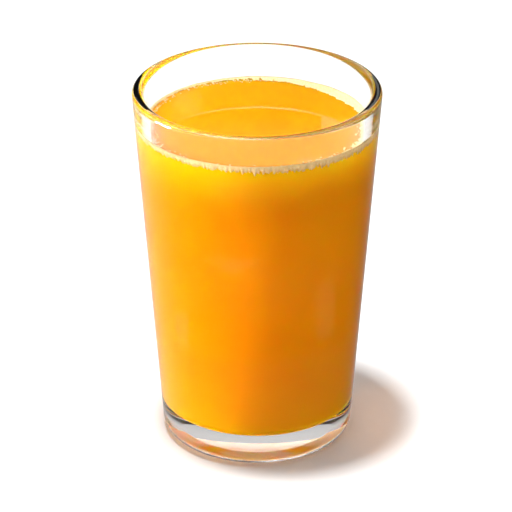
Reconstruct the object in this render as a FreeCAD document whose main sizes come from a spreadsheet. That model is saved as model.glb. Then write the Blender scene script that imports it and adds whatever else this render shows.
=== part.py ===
"""A glass of orange juice: a straight tapered tumbler, the juice in it and the ring of froth at its edge.

Millimetres, +Z up. The origin is on the table, under the middle of the tumbler. All three pieces are
turned about +Z. The juice and the froth take their outer faces from the tumbler's own inside, so they
fit it at any size.
"""
import FreeCAD, Part
import math
import os

import Sketcher

SIZES = [
    ("overall_height", 121.0, "table to the top of the rim"),
    ("rim_diameter", 80.0, "outside of the tapered side, at the height of the rim"),
    ("foot_diameter", 62.0, "outside of the tapered side, carried down to the table"),
    ("wall_thickness", 3.8, "side wall, measured level"),
    ("rim_outer_radius", 1.25, "turn at the rim's outer edge"),
    ("rim_flat", 0.45, "part of the wall's thickness left out of the rim's two turns"),
    ("base_thickness", 10.6, "table to the inside floor"),
    ("floor_radius", 3.0, "turn between the inside floor and the side wall"),
    ("heel_radius", 4.6, "turn between the side and the underside"),
    ("foot_land", 2.0, "level ring that the tumbler stands on, inside the heel"),
    ("recess_depth", 1.0, "height of the underside's middle above the table"),
    ("recess_slope", 9.0, "level run of the slope from the foot ring up to the recess"),
    ("headspace", 11.5, "rim down to the juice"),
    ("froth_width", 1.5, "froth, from the wall inwards"),
    ("froth_rise", 0.7, "rise of the froth's slope from the juice to the middle of the wall"),
    ("froth_sunk", 1.3, "froth below the juice's surface"),
    ("froth_edge", 0.3, "turn at the froth's inner edges"),
]


def make_sheet(doc):
    """The driving dimensions, one row each: name, value under that name, note."""
    sheet = doc.addObject("Spreadsheet::Sheet", "Sizes")
    for row, (name, value, note) in enumerate(SIZES, start=1):
        sheet.set("A%d" % row, name)
        sheet.set("B%d" % row, str(value))
        sheet.set("C%d" % row, note)
        sheet.setAlias("B%d" % row, name)
    doc.recompute()
    return sheet


def size(name):
    """The name of a cell as formulas say it."""
    return "Sizes." + name


def side_radius(height):
    """Formula for the outer side's radius at a height, along its straight taper."""
    taper = "(%s - %s) / %s" % (size("rim_diameter"), size("foot_diameter"), size("overall_height"))
    return "(%s + %s * (%s)) / 2" % (size("foot_diameter"), taper, height)


def inside_radius(height):
    """Formula for the cavity's radius at a height."""
    return "%s - %s" % (side_radius(height), size("wall_thickness"))


def mid_wall_radius(height):
    """Formula for a radius in the middle of the side wall, where fillings are trimmed off."""
    return "%s - %s / 2" % (side_radius(height), size("wall_thickness"))


JUICE_LEVEL = "(%s - %s)" % (size("overall_height"), size("headspace"))


def add_turned_body(doc, name, corners):
    """A body turned about +Z from an outline of corners (x formula, z formula, radius formula or None)."""
    body = doc.addObject("PartDesign::Body", name)
    sketch = body.newObject("Sketcher::SketchObject", name + "_outline")
    plane = next(item for item in body.Origin.OriginFeatures if item.Role == "XZ_Plane")
    sketch.AttachmentSupport = [(plane, "")]
    sketch.MapMode = "FlatFace"
    doc.recompute()
    draw_outline(sketch, corners)
    turned = body.newObject("PartDesign::Revolution", name + "_turned")
    turned.Profile = sketch
    turned.ReferenceAxis = (sketch, ["V_Axis"])
    turned.Angle = 360
    sketch.Visibility = False
    doc.recompute()
    return body


def draw_outline(sketch, corners):
    """Straight sides from corner to corner, with a tangent arc where a corner has a radius.

    A rounded corner keeps its sharp point as a construction point, on both sides' lines, and that
    point carries the corner's dimensions.
    """
    points = [corner_point(sketch, corner) for corner in corners]
    radii = [sketch.evalExpression(corner[2]) if corner[2] else 0.0 for corner in corners]
    count = len(corners)
    cuts = []
    for i in range(count):
        cuts.append(corner_cuts(points[i - 1], points[i], points[(i + 1) % count], radii[i]))
    lines = []
    for i in range(count):
        start = cuts[i][1]
        end = cuts[(i + 1) % count][0]
        lines.append(sketch.addGeometry(Part.LineSegment(start, end), False))
    for i, corner in enumerate(corners):
        before = lines[i - 1]
        after = lines[i]
        if corner[2]:
            join_by_arc(sketch, before, after, cuts[i], points[i], radii[i], corner, i)
        else:
            sketch.addConstraint(Sketcher.Constraint("Coincident", before, 2, after, 1))
            place_point(sketch, after, corner, i)


def corner_point(sketch, corner):
    """A corner's place from its two formulas."""
    return FreeCAD.Vector(float(sketch.evalExpression(corner[0])), float(sketch.evalExpression(corner[1])), 0)


def corner_cuts(before, corner, after, radius):
    """Where an arc of this radius leaves the two sides of a corner, and the arc's centre."""
    if not radius:
        return corner, corner, None
    back = (before - corner).normalize()
    ahead = (after - corner).normalize()
    half_angle = back.getAngle(ahead) / 2
    reach = radius / math.tan(half_angle)
    centre = corner + (back + ahead).normalize() * (radius / math.sin(half_angle))
    return corner + back * reach, corner + ahead * reach, centre


def join_by_arc(sketch, before, after, cut, point, radius, corner, index):
    """A tangent arc between two sides, with its radius and its sharp corner dimensioned."""
    start, end, centre = cut
    turns_left = (start - centre).cross(end - centre).z > 0
    first, last = (start, end) if turns_left else (end, start)
    circle = Part.Circle(centre, FreeCAD.Vector(0, 0, 1), radius)
    angles = [math.atan2(spot.y - centre.y, spot.x - centre.x) for spot in (first, last)]
    arc = sketch.addGeometry(Part.ArcOfCircle(circle, angles[0], angles[1]), False)
    arc_start, arc_end = (1, 2) if turns_left else (2, 1)
    sketch.addConstraint(Sketcher.Constraint("Tangent", before, 2, arc, arc_start))
    sketch.addConstraint(Sketcher.Constraint("Tangent", after, 1, arc, arc_end))
    bind(sketch, Sketcher.Constraint("Radius", arc, radius), "radius_%d" % index, corner[2])
    sharp = sketch.addGeometry(Part.Point(point), True)
    sketch.addConstraint(Sketcher.Constraint("PointOnObject", sharp, 1, before))
    sketch.addConstraint(Sketcher.Constraint("PointOnObject", sharp, 1, after))
    place_point(sketch, sharp, corner, index)


def place_point(sketch, geometry, corner, index):
    """Dimension a point from the origin, or set it on the axis that it lies on."""
    point = corner_point(sketch, corner)
    across, height = corner[0], corner[1]
    if across == "0":
        sketch.addConstraint(Sketcher.Constraint("PointOnObject", geometry, 1, -2))
    else:
        distance = Sketcher.Constraint("DistanceX", -1, 1, geometry, 1, point.x)
        bind(sketch, distance, "across_%d" % index, across)
    if height == "0":
        sketch.addConstraint(Sketcher.Constraint("PointOnObject", geometry, 1, -1))
    else:
        distance = Sketcher.Constraint("DistanceY", -1, 1, geometry, 1, point.y)
        bind(sketch, distance, "height_%d" % index, height)


def bind(sketch, constraint, name, formula):
    """Add a named dimension that follows a formula."""
    index = sketch.addConstraint(constraint)
    sketch.renameConstraint(index, name)
    sketch.setExpression("Constraints." + name, formula)


def make_tumbler(doc):
    """Clear glass in one piece: thick base, tapered side, rounded rim, shallow hollow underneath."""
    top = size("overall_height")
    inner_turn = "%s - %s - %s" % (size("wall_thickness"), size("rim_outer_radius"), size("rim_flat"))
    rim_outside = size("rim_diameter") + " / 2"
    foot_outside = size("foot_diameter") + " / 2"
    land_inside = "%s - %s - %s" % (foot_outside, size("heel_radius"), size("foot_land"))
    recess_edge = "%s - %s" % (land_inside, size("recess_slope"))
    recess_round = size("recess_slope") + " / 2"
    floor = size("base_thickness")
    return add_turned_body(doc, "tumbler", [
        ("0", size("recess_depth"), None),
        (recess_edge, size("recess_depth"), recess_round),
        (land_inside, "0", recess_round),
        (foot_outside, "0", size("heel_radius")),
        (rim_outside, top, size("rim_outer_radius")),
        (inside_radius(top), top, inner_turn),
        (inside_radius(floor), floor, size("floor_radius")),
        ("0", floor, None),
    ])


def cut(doc, name, base, tool):
    """One solid less another."""
    result = doc.addObject("Part::Cut", name)
    result.Base = base
    result.Tool = tool
    result.Refine = True
    doc.recompute()
    return result


def make_froth(doc, tumbler):
    """A thin ring of froth, half sunk, that climbs the glass: a band trimmed by the tumbler's inside."""
    top = "%s + %s" % (JUICE_LEVEL, size("froth_rise"))
    bottom = "%s - %s" % (JUICE_LEVEL, size("froth_sunk"))
    inner = "%s - %s" % (inside_radius(JUICE_LEVEL), size("froth_width"))
    shoulder = "%s + %s" % (JUICE_LEVEL, size("froth_edge"))
    band = add_turned_body(doc, "froth_band", [
        (inner, bottom, size("froth_edge")),
        (mid_wall_radius(JUICE_LEVEL), bottom, None),
        (mid_wall_radius(JUICE_LEVEL), top, None),
        (inner, shoulder, size("froth_edge")),
    ])
    return cut(doc, "froth", band, tumbler)


def make_juice(doc, tumbler, froth):
    """Juice up to its level: a frustum that ends inside the wall and the base, less glass and froth."""
    start = size("base_thickness") + " / 2"
    block = doc.addObject("Part::Cone", "juice_block")
    block.setExpression("Radius1", mid_wall_radius(start))
    block.setExpression("Radius2", mid_wall_radius(JUICE_LEVEL))
    block.setExpression("Height", "%s - %s" % (JUICE_LEVEL, start))
    block.setExpression("Placement.Base.z", start)
    doc.recompute()
    return cut(doc, "juice", cut(doc, "juice_with_froth", block, tumbler), froth)


def check(doc, parts):
    """Stop if any object failed or a part isn't one sound solid."""
    for item in doc.Objects:
        if "Invalid" in item.State or "Error" in item.State:
            raise RuntimeError("%s failed: %s" % (item.Name, item.State))
    for part in parts:
        if part.Shape.isNull() or not part.Shape.isValid():
            raise RuntimeError("%s has no valid shape" % part.Label)
        if len(part.Shape.Solids) != 1:
            raise RuntimeError("%s has %d solids" % (part.Label, len(part.Shape.Solids)))


def export(parts):
    """One STEP file for each part, named by its label."""
    os.makedirs("parts", exist_ok=True)
    for part in parts:
        part.Shape.exportStep("parts/%s.step" % part.Label)
        box = part.Shape.optimalBoundingBox()
        volume = part.Shape.Volume / 1000
        print("%-8s %8.2f cm3   z %.2f to %.2f   across %.2f"
              % (part.Label, volume, box.ZMin, box.ZMax, box.XLength))


def main():
    doc = FreeCAD.newDocument("glass_of_orange_juice")
    make_sheet(doc)
    tumbler = make_tumbler(doc)
    froth = make_froth(doc, tumbler)
    juice = make_juice(doc, tumbler, froth)
    parts = [tumbler, juice, froth]
    doc.recompute()
    check(doc, parts)
    export(parts)


main()
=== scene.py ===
import math
import random

import bmesh
import bpy
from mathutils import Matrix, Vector, noise


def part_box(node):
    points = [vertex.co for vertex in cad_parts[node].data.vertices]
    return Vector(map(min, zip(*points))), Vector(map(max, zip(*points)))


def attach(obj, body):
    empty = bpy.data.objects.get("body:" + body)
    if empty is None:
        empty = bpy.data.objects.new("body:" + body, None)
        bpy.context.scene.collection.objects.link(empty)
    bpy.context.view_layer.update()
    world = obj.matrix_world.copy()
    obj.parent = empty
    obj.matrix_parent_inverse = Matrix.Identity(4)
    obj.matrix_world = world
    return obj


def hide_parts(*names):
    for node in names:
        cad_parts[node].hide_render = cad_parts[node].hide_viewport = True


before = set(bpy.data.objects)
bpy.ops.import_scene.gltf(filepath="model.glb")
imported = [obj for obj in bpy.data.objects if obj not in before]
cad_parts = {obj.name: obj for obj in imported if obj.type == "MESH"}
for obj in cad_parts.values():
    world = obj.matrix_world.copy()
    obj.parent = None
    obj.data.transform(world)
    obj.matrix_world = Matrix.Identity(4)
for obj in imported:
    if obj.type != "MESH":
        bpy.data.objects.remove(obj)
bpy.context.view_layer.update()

MM = 0.001

# Sizes of the tumbler and what is in it, as in the CAD part.
HEIGHT = 121.0 * MM
RIM_RADIUS = 40.0 * MM
FOOT_RADIUS = 31.0 * MM
WALL = 3.8 * MM
RIM_OUTER_ROUND = 1.25 * MM
RIM_INNER_ROUND = 2.1 * MM
BASE = 10.6 * MM
FLOOR_RADIUS = 3.0 * MM
HEEL_RADIUS = 4.6 * MM
FOOT_LAND = 2.0 * MM
RECESS_DEPTH = 1.0 * MM
RECESS_SLOPE = 9.0 * MM
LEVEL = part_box("juice")[1].z

# The turned pieces: steps round the axis, and the angle of one step along a rounded corner.
SEGMENTS = 256
ARC_STEP = math.radians(6)

# The juice reaches a little into the glass, so that no air gap shows, and climbs it at its edge.
SOAK = 0.15 * MM
MENISCUS_RISE = 0.7 * MM
MENISCUS_WIDTH = 1.8 * MM
MENISCUS_CURVE = 2.2         # power of the curve: the higher, the more sudden the climb
MENISCUS_STEPS = 8
SURFACE_RINGS = (0.6, 0.3, 0.0)

# The froth reaches further into the glass than the juice, so that it shows in front of it. It is
# thickest at the front right, and a film of fine froth lies on the juice at the back right.
FROTH_SOAK = 0.28 * MM
FROTH_STEPS = 1800
FROTH_THICK_AT = math.radians(-35)
FILM_AT = math.radians(38)
FILM_SPREAD = math.radians(30)
FILM_WIDTH = 1.9 * MM

# The band of froth in mm, before its thickness and ripples: above the juice's level, below it, and
# in from the wall. The last two never go under their least.
BAND_RISE = 0.8
BAND_HANG = 0.3
BAND_REACH = 0.75
LEAST_HANG = 0.15
LEAST_REACH = 0.3

# Bubbles, with radii in mm. The largest radius grows with the froth's thickness, by THICK_BUBBLE at
# a thickness of 1.
BUBBLES = 1500
BUBBLE_SEED = 7
BUBBLES_ON_WALL = 0.5        # the share of them that lies on the wall, not on the juice
SMALLEST_BUBBLE = 0.10
LARGEST_BUBBLE = 0.20
THICK_BUBBLE = 0.14

GLASS_IOR = 1.5
JUICE_IOR = 1.34
GLASS_TINT = (0.985, 0.99, 0.988)
SMUDGE_SCALE = 25
SMUDGE_ROUGHNESS = 0.03

# Juice colours, linear, each as a darker and a paler one: deep in the glass; painted light, paler and
# yellower, where light comes in through the glass at the top and the base; and at the surface. The share
# of the painted light colour that is mixed in goes by height, from the base at 0 to the level at 1.
JUICE_DEEP = ((0.82, 0.29, 0.0005), (0.82, 0.315, 0.001))
JUICE_PAINTED_LIGHT = ((1.0, 0.65, 0.001), (1.0, 0.71, 0.002))
JUICE_SURFACE = ((1.0, 0.31, 0.0005), (1.0, 0.34, 0.001))
PAINTED_LIGHT_SHARE = (
    (0.0, 0.2), (0.1, 0.1), (0.25, 0.0), (0.8, 0.0),
    (0.86, 0.1), (0.92, 0.38), (0.96, 0.7), (1.0, 1.0),
)
PULP_SCALE = 60
SCATTER_DEPTH = 0.02
SCATTER_BY_COLOR = (1.0, 0.4, 0.1)
JUICE_ROUGHNESS = 0.02

FROTH_PALE = (1.0, 0.80, 0.45)
FROTH_DEEP = (1.0, 0.66, 0.26)
FROTH_CELL_SCALE = 2200
FROTH_ROUGHNESS = 0.4

# The floor that the tumbler stands on.
FLOOR_HALF = 3.0
FLOOR_COLOR = (0.9, 0.9, 0.9)
FLOOR_ROUGHNESS = 0.7
FLOOR_SHINE = 0.1

# Brightness of the surroundings. SKY goes by height: 0 is straight down, 0.5 the horizon and 1
# straight up. SWEEP goes by direction: 1 is along SWEEP_DIRECTION and 0 against it. BELOW_HORIZON,
# by height again, keeps it below the horizon.
SKY = (
    (0.5, 0.0), (0.51, 0.035), (0.699, 0.035), (0.7025, 0.28),
    (0.75, 0.7), (0.85, 0.7), (1.0, 0.2),
)
BELOW_HORIZON = ((0.0, 1.0), (0.499, 1.0), (0.5, 0.0))
SWEEP_DIRECTION = (-0.45, 0.89, 0)
SWEEP = ((0.0, 0.03), (0.5, 0.015), (0.64, 0.06), (0.73, 0.14), (0.885, 0.45), (1.0, 0.8))

# The colour of light that has come through juice, and the middle of the glass, where lamps aim.
AMBER = (1.0, 0.42, 0.1)
MIDDLE = (0, 0, 0.06)

# Camera.
CAMERA_DISTANCE = 0.9524
CAMERA_ELEVATION = math.radians(26.19)
CAMERA_AIM = Vector((-0.00036, 0.0, 0.0617))
LENS = 204.9
SENSOR_WIDTH = 36


def outer_radius(z):
    """The straight tapered side, outside."""
    return FOOT_RADIUS + (RIM_RADIUS - FOOT_RADIUS) * z / HEIGHT


def inner_radius(z):
    """The straight tapered side, inside."""
    return outer_radius(z) - WALL


def rounded(corners):
    """Points of an outline (r, z, rounding radius), with an arc at each rounded corner."""
    points = []
    for i, (x, z, radius) in enumerate(corners):
        here = Vector((x, z))
        if not radius:
            points.append(here)
            continue
        back = (Vector(corners[i - 1][:2]) - here).normalized()
        ahead = (Vector(corners[i + 1][:2]) - here).normalized()
        half = back.angle(ahead) / 2
        centre = here + (back + ahead).normalized() * radius / math.sin(half)
        start = here + back * radius / math.tan(half) - centre
        turn = start.angle_signed(here + ahead * radius / math.tan(half) - centre)
        steps = max(3, math.ceil(abs(turn) / ARC_STEP))
        for k in range(steps + 1):
            angle = -turn * k / steps
            c, s = math.cos(angle), math.sin(angle)
            points.append(centre + Vector((start.x * c - start.y * s, start.x * s + start.y * c)))
    return points


def turned(name, outline):
    """A smooth mesh turned about +Z from an outline that starts and ends on the axis."""
    verts = [(0.0, 0.0, outline[0].y)]
    ring_points = outline[1:-1]
    for point in ring_points:
        for k in range(SEGMENTS):
            angle = 2 * math.pi * k / SEGMENTS
            verts.append((point.x * math.cos(angle), point.x * math.sin(angle), point.y))
    verts.append((0.0, 0.0, outline[-1].y))
    last = len(verts) - 1
    faces = []
    for k in range(SEGMENTS):
        after = (k + 1) % SEGMENTS
        faces.append((0, 1 + after, 1 + k))
        for ring in range(len(ring_points) - 1):
            low = 1 + ring * SEGMENTS
            high = low + SEGMENTS
            faces.append((low + k, low + after, high + after, high + k))
        top = 1 + (len(ring_points) - 1) * SEGMENTS
        faces.append((top + k, top + after, last))
    return smooth_object(name, verts, faces)


def smooth_object(name, verts, faces):
    """An object in the scene with a smooth shaded mesh."""
    mesh = bpy.data.meshes.new(name)
    mesh.from_pydata(verts, [], faces)
    mesh.validate()
    mesh.shade_smooth()
    piece = bpy.data.objects.new(name, mesh)
    bpy.context.scene.collection.objects.link(piece)
    return piece


def new_material(name):
    """A material that uses nodes, and its shader."""
    material = bpy.data.materials.new(name)
    material.use_nodes = True
    return material, material.node_tree.nodes["Principled BSDF"]


def color_ramp(nodes, stops):
    """A colour ramp through (position, colour) stops."""
    ramp = nodes.new("ShaderNodeValToRGB")
    elements = ramp.color_ramp.elements
    while len(elements) < len(stops):
        elements.new(0.5)
    for element, (position, color) in zip(elements, stops):
        element.position = position
        element.color = (*color, 1)
    return ramp


def grey_ramp(nodes, stops):
    """A ramp of brightness through (position, level) stops."""
    return color_ramp(nodes, [(position, (level,) * 3) for position, level in stops])


def glass_material():
    """Clear glass, a little dull where it is smudged."""
    material, shader = new_material("clear_glass")
    nodes, links = material.node_tree.nodes, material.node_tree.links
    shader.inputs["Base Color"].default_value = (*GLASS_TINT, 1)
    coords = nodes.new("ShaderNodeTexCoord")
    smudges = nodes.new("ShaderNodeTexNoise")
    smudges.inputs["Scale"].default_value = SMUDGE_SCALE
    links.new(coords.outputs["Object"], smudges.inputs["Vector"])
    dull = nodes.new("ShaderNodeMapRange")
    dull.inputs["From Min"].default_value = 0.5
    dull.inputs["From Max"].default_value = 0.8
    dull.inputs["To Max"].default_value = SMUDGE_ROUGHNESS
    links.new(smudges.outputs["Fac"], dull.inputs["Value"])
    links.new(dull.outputs["Result"], shader.inputs["Roughness"])
    shader.inputs["IOR"].default_value = GLASS_IOR
    shader.inputs["Transmission Weight"].default_value = 1.0
    return material


def juice_material(name, ior, deep_colors, painted_light_colors):
    """Cloudy juice with faint clouds of pulp, and painted light: yellower at the top and the base, where
    light comes in.
    """
    material, shader = new_material(name)
    nodes, links = material.node_tree.nodes, material.node_tree.links
    coords = nodes.new("ShaderNodeTexCoord")
    pulp = nodes.new("ShaderNodeTexNoise")
    pulp.inputs["Scale"].default_value = PULP_SCALE
    pulp.inputs["Detail"].default_value = 4
    links.new(coords.outputs["Object"], pulp.inputs["Vector"])
    mix = nodes.new("ShaderNodeMix")
    mix.data_type = "RGBA"
    for socket, (dark, pale) in (("A", deep_colors), ("B", painted_light_colors)):
        ramp = color_ramp(nodes, [(0.3, dark), (0.7, pale)])
        links.new(pulp.outputs["Fac"], ramp.inputs["Fac"])
        links.new(ramp.outputs["Color"], mix.inputs[socket])
    split = nodes.new("ShaderNodeSeparateXYZ")
    links.new(coords.outputs["Object"], split.inputs["Vector"])
    # Painted light: the paler colour is mixed in near the top and the base, by height.
    height = nodes.new("ShaderNodeMapRange")
    height.inputs["From Min"].default_value = BASE
    height.inputs["From Max"].default_value = LEVEL
    links.new(split.outputs["Z"], height.inputs["Value"])
    light = grey_ramp(nodes, PAINTED_LIGHT_SHARE)
    light.color_ramp.interpolation = "B_SPLINE"
    links.new(height.outputs["Result"], light.inputs["Fac"])
    links.new(light.outputs["Color"], mix.inputs["Factor"])
    links.new(mix.outputs["Result"], shader.inputs["Base Color"])
    shader.inputs["Subsurface Weight"].default_value = 1.0
    shader.inputs["Subsurface Radius"].default_value = SCATTER_BY_COLOR
    shader.inputs["Subsurface Scale"].default_value = SCATTER_DEPTH
    shader.inputs["Roughness"].default_value = JUICE_ROUGHNESS
    shader.inputs["IOR"].default_value = ior
    return material


def froth_material():
    """Pale froth with a fine pattern of cells."""
    material, shader = new_material("froth_bubbles")
    nodes, links = material.node_tree.nodes, material.node_tree.links
    coords = nodes.new("ShaderNodeTexCoord")
    cells = nodes.new("ShaderNodeTexVoronoi")
    cells.inputs["Scale"].default_value = FROTH_CELL_SCALE
    links.new(coords.outputs["Object"], cells.inputs["Vector"])
    tone = color_ramp(nodes, [(0.1, FROTH_PALE), (0.6, FROTH_DEEP)])
    links.new(cells.outputs["Distance"], tone.inputs["Fac"])
    links.new(tone.outputs["Color"], shader.inputs["Base Color"])
    shader.inputs["Roughness"].default_value = FROTH_ROUGHNESS
    return material


def make_glass():
    """The tumbler, from the recess under its foot, up the outside, over the rim and down the inside."""
    land = FOOT_RADIUS - HEEL_RADIUS - FOOT_LAND
    outline = rounded([
        (0.0, RECESS_DEPTH, 0),
        (land - RECESS_SLOPE, RECESS_DEPTH, RECESS_SLOPE / 2),
        (land, 0.0, RECESS_SLOPE / 2),
        (FOOT_RADIUS, 0.0, HEEL_RADIUS),
        (RIM_RADIUS, HEIGHT, RIM_OUTER_ROUND),
        (inner_radius(HEIGHT), HEIGHT, RIM_INNER_ROUND),
        (inner_radius(BASE), BASE, FLOOR_RADIUS),
        (0.0, BASE, 0),
    ])
    piece = turned("tumbler_glass", outline)
    piece.data.materials.append(glass_material())
    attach(piece, "root")
    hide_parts("tumbler")
    return piece


def make_juice():
    """The juice, up the inside of the glass to its curved edge, then in over its flat surface."""
    bottom = BASE - SOAK
    brim = LEVEL + MENISCUS_RISE
    edge = inner_radius(brim)
    outline = rounded([
        (0.0, bottom, 0),
        (inner_radius(bottom) + SOAK, bottom, FLOOR_RADIUS),
        (edge + SOAK, brim, 0),
    ])
    for k in range(MENISCUS_STEPS, -1, -1):
        share = k / MENISCUS_STEPS
        climb = MENISCUS_RISE * share ** MENISCUS_CURVE
        outline.append(Vector((edge - MENISCUS_WIDTH * (1 - share), LEVEL + climb)))
    for share in SURFACE_RINGS:
        outline.append(Vector((edge * share, LEVEL)))
    piece = turned("orange_juice", outline)
    # The body lies against glass and the surface against air, so their indices differ.
    piece.data.materials.append(juice_material("juice_body", JUICE_IOR / GLASS_IOR, JUICE_DEEP, JUICE_PAINTED_LIGHT))
    piece.data.materials.append(juice_material("juice_surface", JUICE_IOR, JUICE_SURFACE, JUICE_SURFACE))
    # The surface is what faces up at the level, with its curved edge.
    for face in piece.data.polygons:
        if face.center.z > LEVEL - 0.1 * MM and face.normal.z > 0.3:
            face.material_index = 1
    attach(piece, "root")
    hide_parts("juice")
    return piece


def froth_thickness(angle):
    """From 0.3 at the back left to 1 at the front right."""
    return 0.65 + 0.35 * math.cos(angle - FROTH_THICK_AT)


def ripple(angle, count, seed):
    """Smooth noise from -1 to 1 round the ring, with about this many waves."""
    spot = Vector((math.cos(angle), math.sin(angle), 0)) * count / (2 * math.pi)
    return noise.noise(spot + Vector((0, 0, seed)))


def froth_band_section(angle):
    """The band of froth cut at one angle: (distance in from the wall, height) points."""
    thick = froth_thickness(angle)
    rise = (BAND_RISE + 0.25 * thick + 0.15 * ripple(angle, 40, 1)) * MM
    ragged = 0.6 * ripple(angle, 90, 2) + 1.5 * thick * ripple(angle, 330, 3)
    hang = (BAND_HANG + 1.0 * thick + ragged) * MM
    hang = max(hang, LEAST_HANG * MM)
    film = math.exp(-((angle - FILM_AT) / FILM_SPREAD) ** 2)
    reach = (BAND_REACH + 0.5 * thick + 0.5 * ripple(angle, 120, 4) + 0.6 * ripple(angle, 330, 5)) * MM
    reach += FILM_WIDTH * film * (1 + 0.4 * ripple(angle, 60, 6))
    reach = max(reach, LEAST_REACH * MM)
    return [
        (-FROTH_SOAK, LEVEL + rise),
        (0.3 * MM, LEVEL + rise * 0.75),
        (0.55 * reach, LEVEL + 0.3 * rise),
        (reach, LEVEL + 0.04 * MM),
        (reach, LEVEL - 0.15 * MM),
        (0.2 * MM, LEVEL - hang * 0.9),
        (-FROTH_SOAK, LEVEL - hang),
    ]


def from_wall(angle, inwards, height):
    """The place at this angle and height, this far in from the inside of the wall."""
    out = inner_radius(height) - inwards
    return Vector((out * math.cos(angle), out * math.sin(angle), height))


def froth_band():
    """Corners and faces of the ragged band of froth round the wall."""
    verts, faces = [], []
    for k in range(FROTH_STEPS):
        angle = 2 * math.pi * k / FROTH_STEPS
        section = froth_band_section(angle)
        verts.extend(from_wall(angle, inwards, height) for inwards, height in section)
    count = len(section)
    for k in range(FROTH_STEPS):
        here = k * count
        after = (k + 1) % FROTH_STEPS * count
        for i in range(count):
            j = (i + 1) % count
            faces.append((here + i, here + j, after + j, after + i))
    return verts, faces


def bubble_template():
    """Corners and faces of a small ball of radius 1."""
    template = bmesh.new()
    bmesh.ops.create_icosphere(template, subdivisions=2, radius=1.0)
    corners = [v.co.copy() for v in template.verts]
    sides = [[v.index for v in f.verts] for f in template.faces]
    template.free()
    return corners, sides


def scattered_bubbles():
    """Centre and radius of each bubble: some on the wall about the level, the rest on the juice."""
    draw = random.Random(BUBBLE_SEED)
    for _ in range(BUBBLES):
        angle = draw.uniform(0, 2 * math.pi)
        thick = froth_thickness(angle)
        radius = draw.uniform(SMALLEST_BUBBLE, LARGEST_BUBBLE + THICK_BUBBLE * thick) * MM
        if draw.random() < BUBBLES_ON_WALL:
            fall = draw.uniform(-0.5, 0.3 + 1.3 * thick) * MM
            inwards = radius - FROTH_SOAK + draw.uniform(0, 0.1) * MM
            height = LEVEL - fall
        else:
            inwards = radius + abs(draw.gauss(0, 0.9)) * MM
            height = LEVEL + radius * draw.uniform(-0.2, 0.5)
        yield from_wall(angle, inwards, height), radius


def make_froth():
    """The band of froth, and small bubbles in and around it."""
    verts, faces = froth_band()
    ball_verts, ball_faces = bubble_template()
    for centre, radius in scattered_bubbles():
        first = len(verts)
        verts.extend(centre + corner * radius for corner in ball_verts)
        faces.extend([first + i for i in face] for face in ball_faces)
    piece = smooth_object("froth_ring", verts, faces)
    piece.data.materials.append(froth_material())
    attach(piece, "root")
    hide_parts("froth")
    return piece


def make_floor():
    """A plain pale floor, which the glass doesn't mirror."""
    half = FLOOR_HALF
    corners = [(-half, -half, 0), (half, -half, 0), (half, half, 0), (-half, half, 0)]
    mesh = bpy.data.meshes.new("floor")
    mesh.from_pydata(corners, [], [(0, 1, 2, 3)])
    floor = bpy.data.objects.new("floor", mesh)
    bpy.context.scene.collection.objects.link(floor)
    material, shader = new_material("pale_floor")
    shader.inputs["Base Color"].default_value = (*FLOOR_COLOR, 1)
    shader.inputs["Roughness"].default_value = FLOOR_ROUGHNESS
    shader.inputs["Specular IOR Level"].default_value = FLOOR_SHINE
    mesh.materials.append(material)
    floor.visible_glossy = False
    return floor


def area_light(name, place, aim, size, power, color=(1, 1, 1)):
    """A rectangular lamp at a place, facing its aim, with its power in watts."""
    data = bpy.data.lights.new(name, "AREA")
    data.shape = "RECTANGLE"
    data.size, data.size_y = size
    data.energy = power
    data.color = color
    lamp = bpy.data.objects.new(name, data)
    lamp.location = place
    lamp.rotation_euler = (Vector(aim) - Vector(place)).to_track_quat("-Z", "Y").to_euler()
    bpy.context.scene.collection.objects.link(lamp)
    return lamp


def light_only(lamps, name, things):
    """Keep these lamps to these things, through a collection of this name."""
    group = bpy.data.collections.new(name)
    for thing in things:
        group.objects.link(thing)
    for lamp in lamps:
        lamp.light_linking.receiver_collection = group


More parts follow.
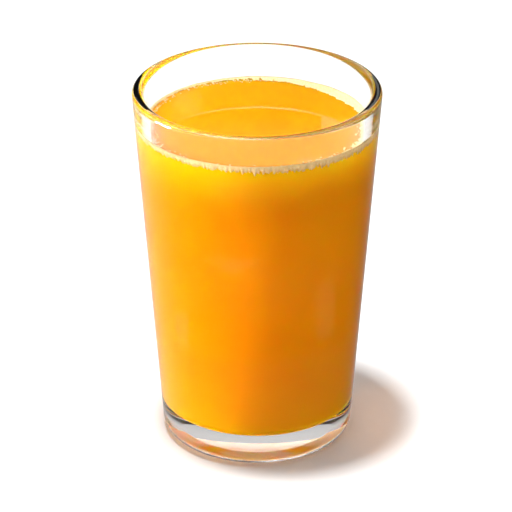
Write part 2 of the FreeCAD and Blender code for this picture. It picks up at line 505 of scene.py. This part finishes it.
def make_lights(floor, pieces):
    """Two lamps that light the floor alone, and four that light the glass and what is in it."""
    over = area_light(
        "over_floor", place=(-0.105, -0.05, 1.35), aim=(-0.03, 0, 0), size=(0.14, 0.14), power=21)
    # Stands in for the light that comes through the juice, just beside the foot.
    amber = area_light(
        "through_juice", place=(0.042, 0, 0.012), aim=(0.042, 0, 0), size=(0.012, 0.05),
        power=0.0009, color=AMBER)
    amber.visible_camera = False
    amber.visible_glossy = False
    amber.visible_transmission = False
    light_only((over, amber), "lit_floor", [floor])
    left = area_light(
        "left_box", place=(-1.2, 0.0, 0.15), aim=MIDDLE, size=(0.4, 0.5), power=76)
    top = area_light(
        "top_box", place=(-0.28, -0.16, 1.33), aim=(0, 0, 0.05), size=(0.8, 0.8), power=19)
    right = area_light(
        "right_box", place=(1.2, -0.2, 0.5), aim=MIDDLE, size=(0.6, 0.8), power=5)
    # Mirrored in the juice's surface, but not to be seen through the glass.
    panel = area_light(
        "back_panel", place=(0.125, 1.0, 0.54), aim=(0.02, 0, LEVEL), size=(0.16, 0.09), power=0.04)
    panel.visible_transmission = False
    light_only((left, top, right, panel), "lit_glass", pieces)


def make_world():
    """Dark up to a steep height and bright above it, with a pale sweep below the back left horizon."""
    world = bpy.data.worlds.new("studio")
    bpy.context.scene.world = world
    world.use_nodes = True
    nodes, links = world.node_tree.nodes, world.node_tree.links
    coords = nodes.new("ShaderNodeTexCoord")

    def along(direction, stops):
        """Brightness by how far a view direction points along this one, from -1 to 1."""
        dot = nodes.new("ShaderNodeVectorMath")
        dot.operation = "DOT_PRODUCT"
        dot.inputs[1].default_value = direction
        links.new(coords.outputs["Generated"], dot.inputs[0])
        share = nodes.new("ShaderNodeMapRange")
        share.inputs["From Min"].default_value = -1.0
        links.new(dot.outputs["Value"], share.inputs["Value"])
        ramp = grey_ramp(nodes, stops)
        links.new(share.outputs["Result"], ramp.inputs["Fac"])
        return ramp.outputs["Color"]

    def combined(operation, first, second):
        """The two values added or multiplied."""
        math_node = nodes.new("ShaderNodeMath")
        math_node.operation = operation
        links.new(first, math_node.inputs[0])
        links.new(second, math_node.inputs[1])
        return math_node.outputs["Value"]

    up = (0, 0, 1)
    sweep = combined("MULTIPLY", along(up, BELOW_HORIZON), along(SWEEP_DIRECTION, SWEEP))
    background = nodes["Background"]
    background.inputs["Color"].default_value = (1, 1, 1, 1)
    links.new(combined("ADD", along(up, SKY), sweep), background.inputs["Strength"])


def make_camera():
    """In front of the glass and above it, looking down at its middle."""
    data = bpy.data.cameras.new("camera")
    data.lens = LENS
    data.sensor_width = SENSOR_WIDTH
    camera = bpy.data.objects.new("camera", data)
    back = Vector((0, -math.cos(CAMERA_ELEVATION), math.sin(CAMERA_ELEVATION)))
    camera.location = CAMERA_AIM + back * CAMERA_DISTANCE
    camera.rotation_euler = (-back).to_track_quat("-Z", "Y").to_euler()
    bpy.context.scene.collection.objects.link(camera)
    bpy.context.scene.camera = camera


make_camera()
make_world()
make_lights(make_floor(), (make_glass(), make_juice(), make_froth()))
bpy.context.scene.view_settings.view_transform = "Standard"
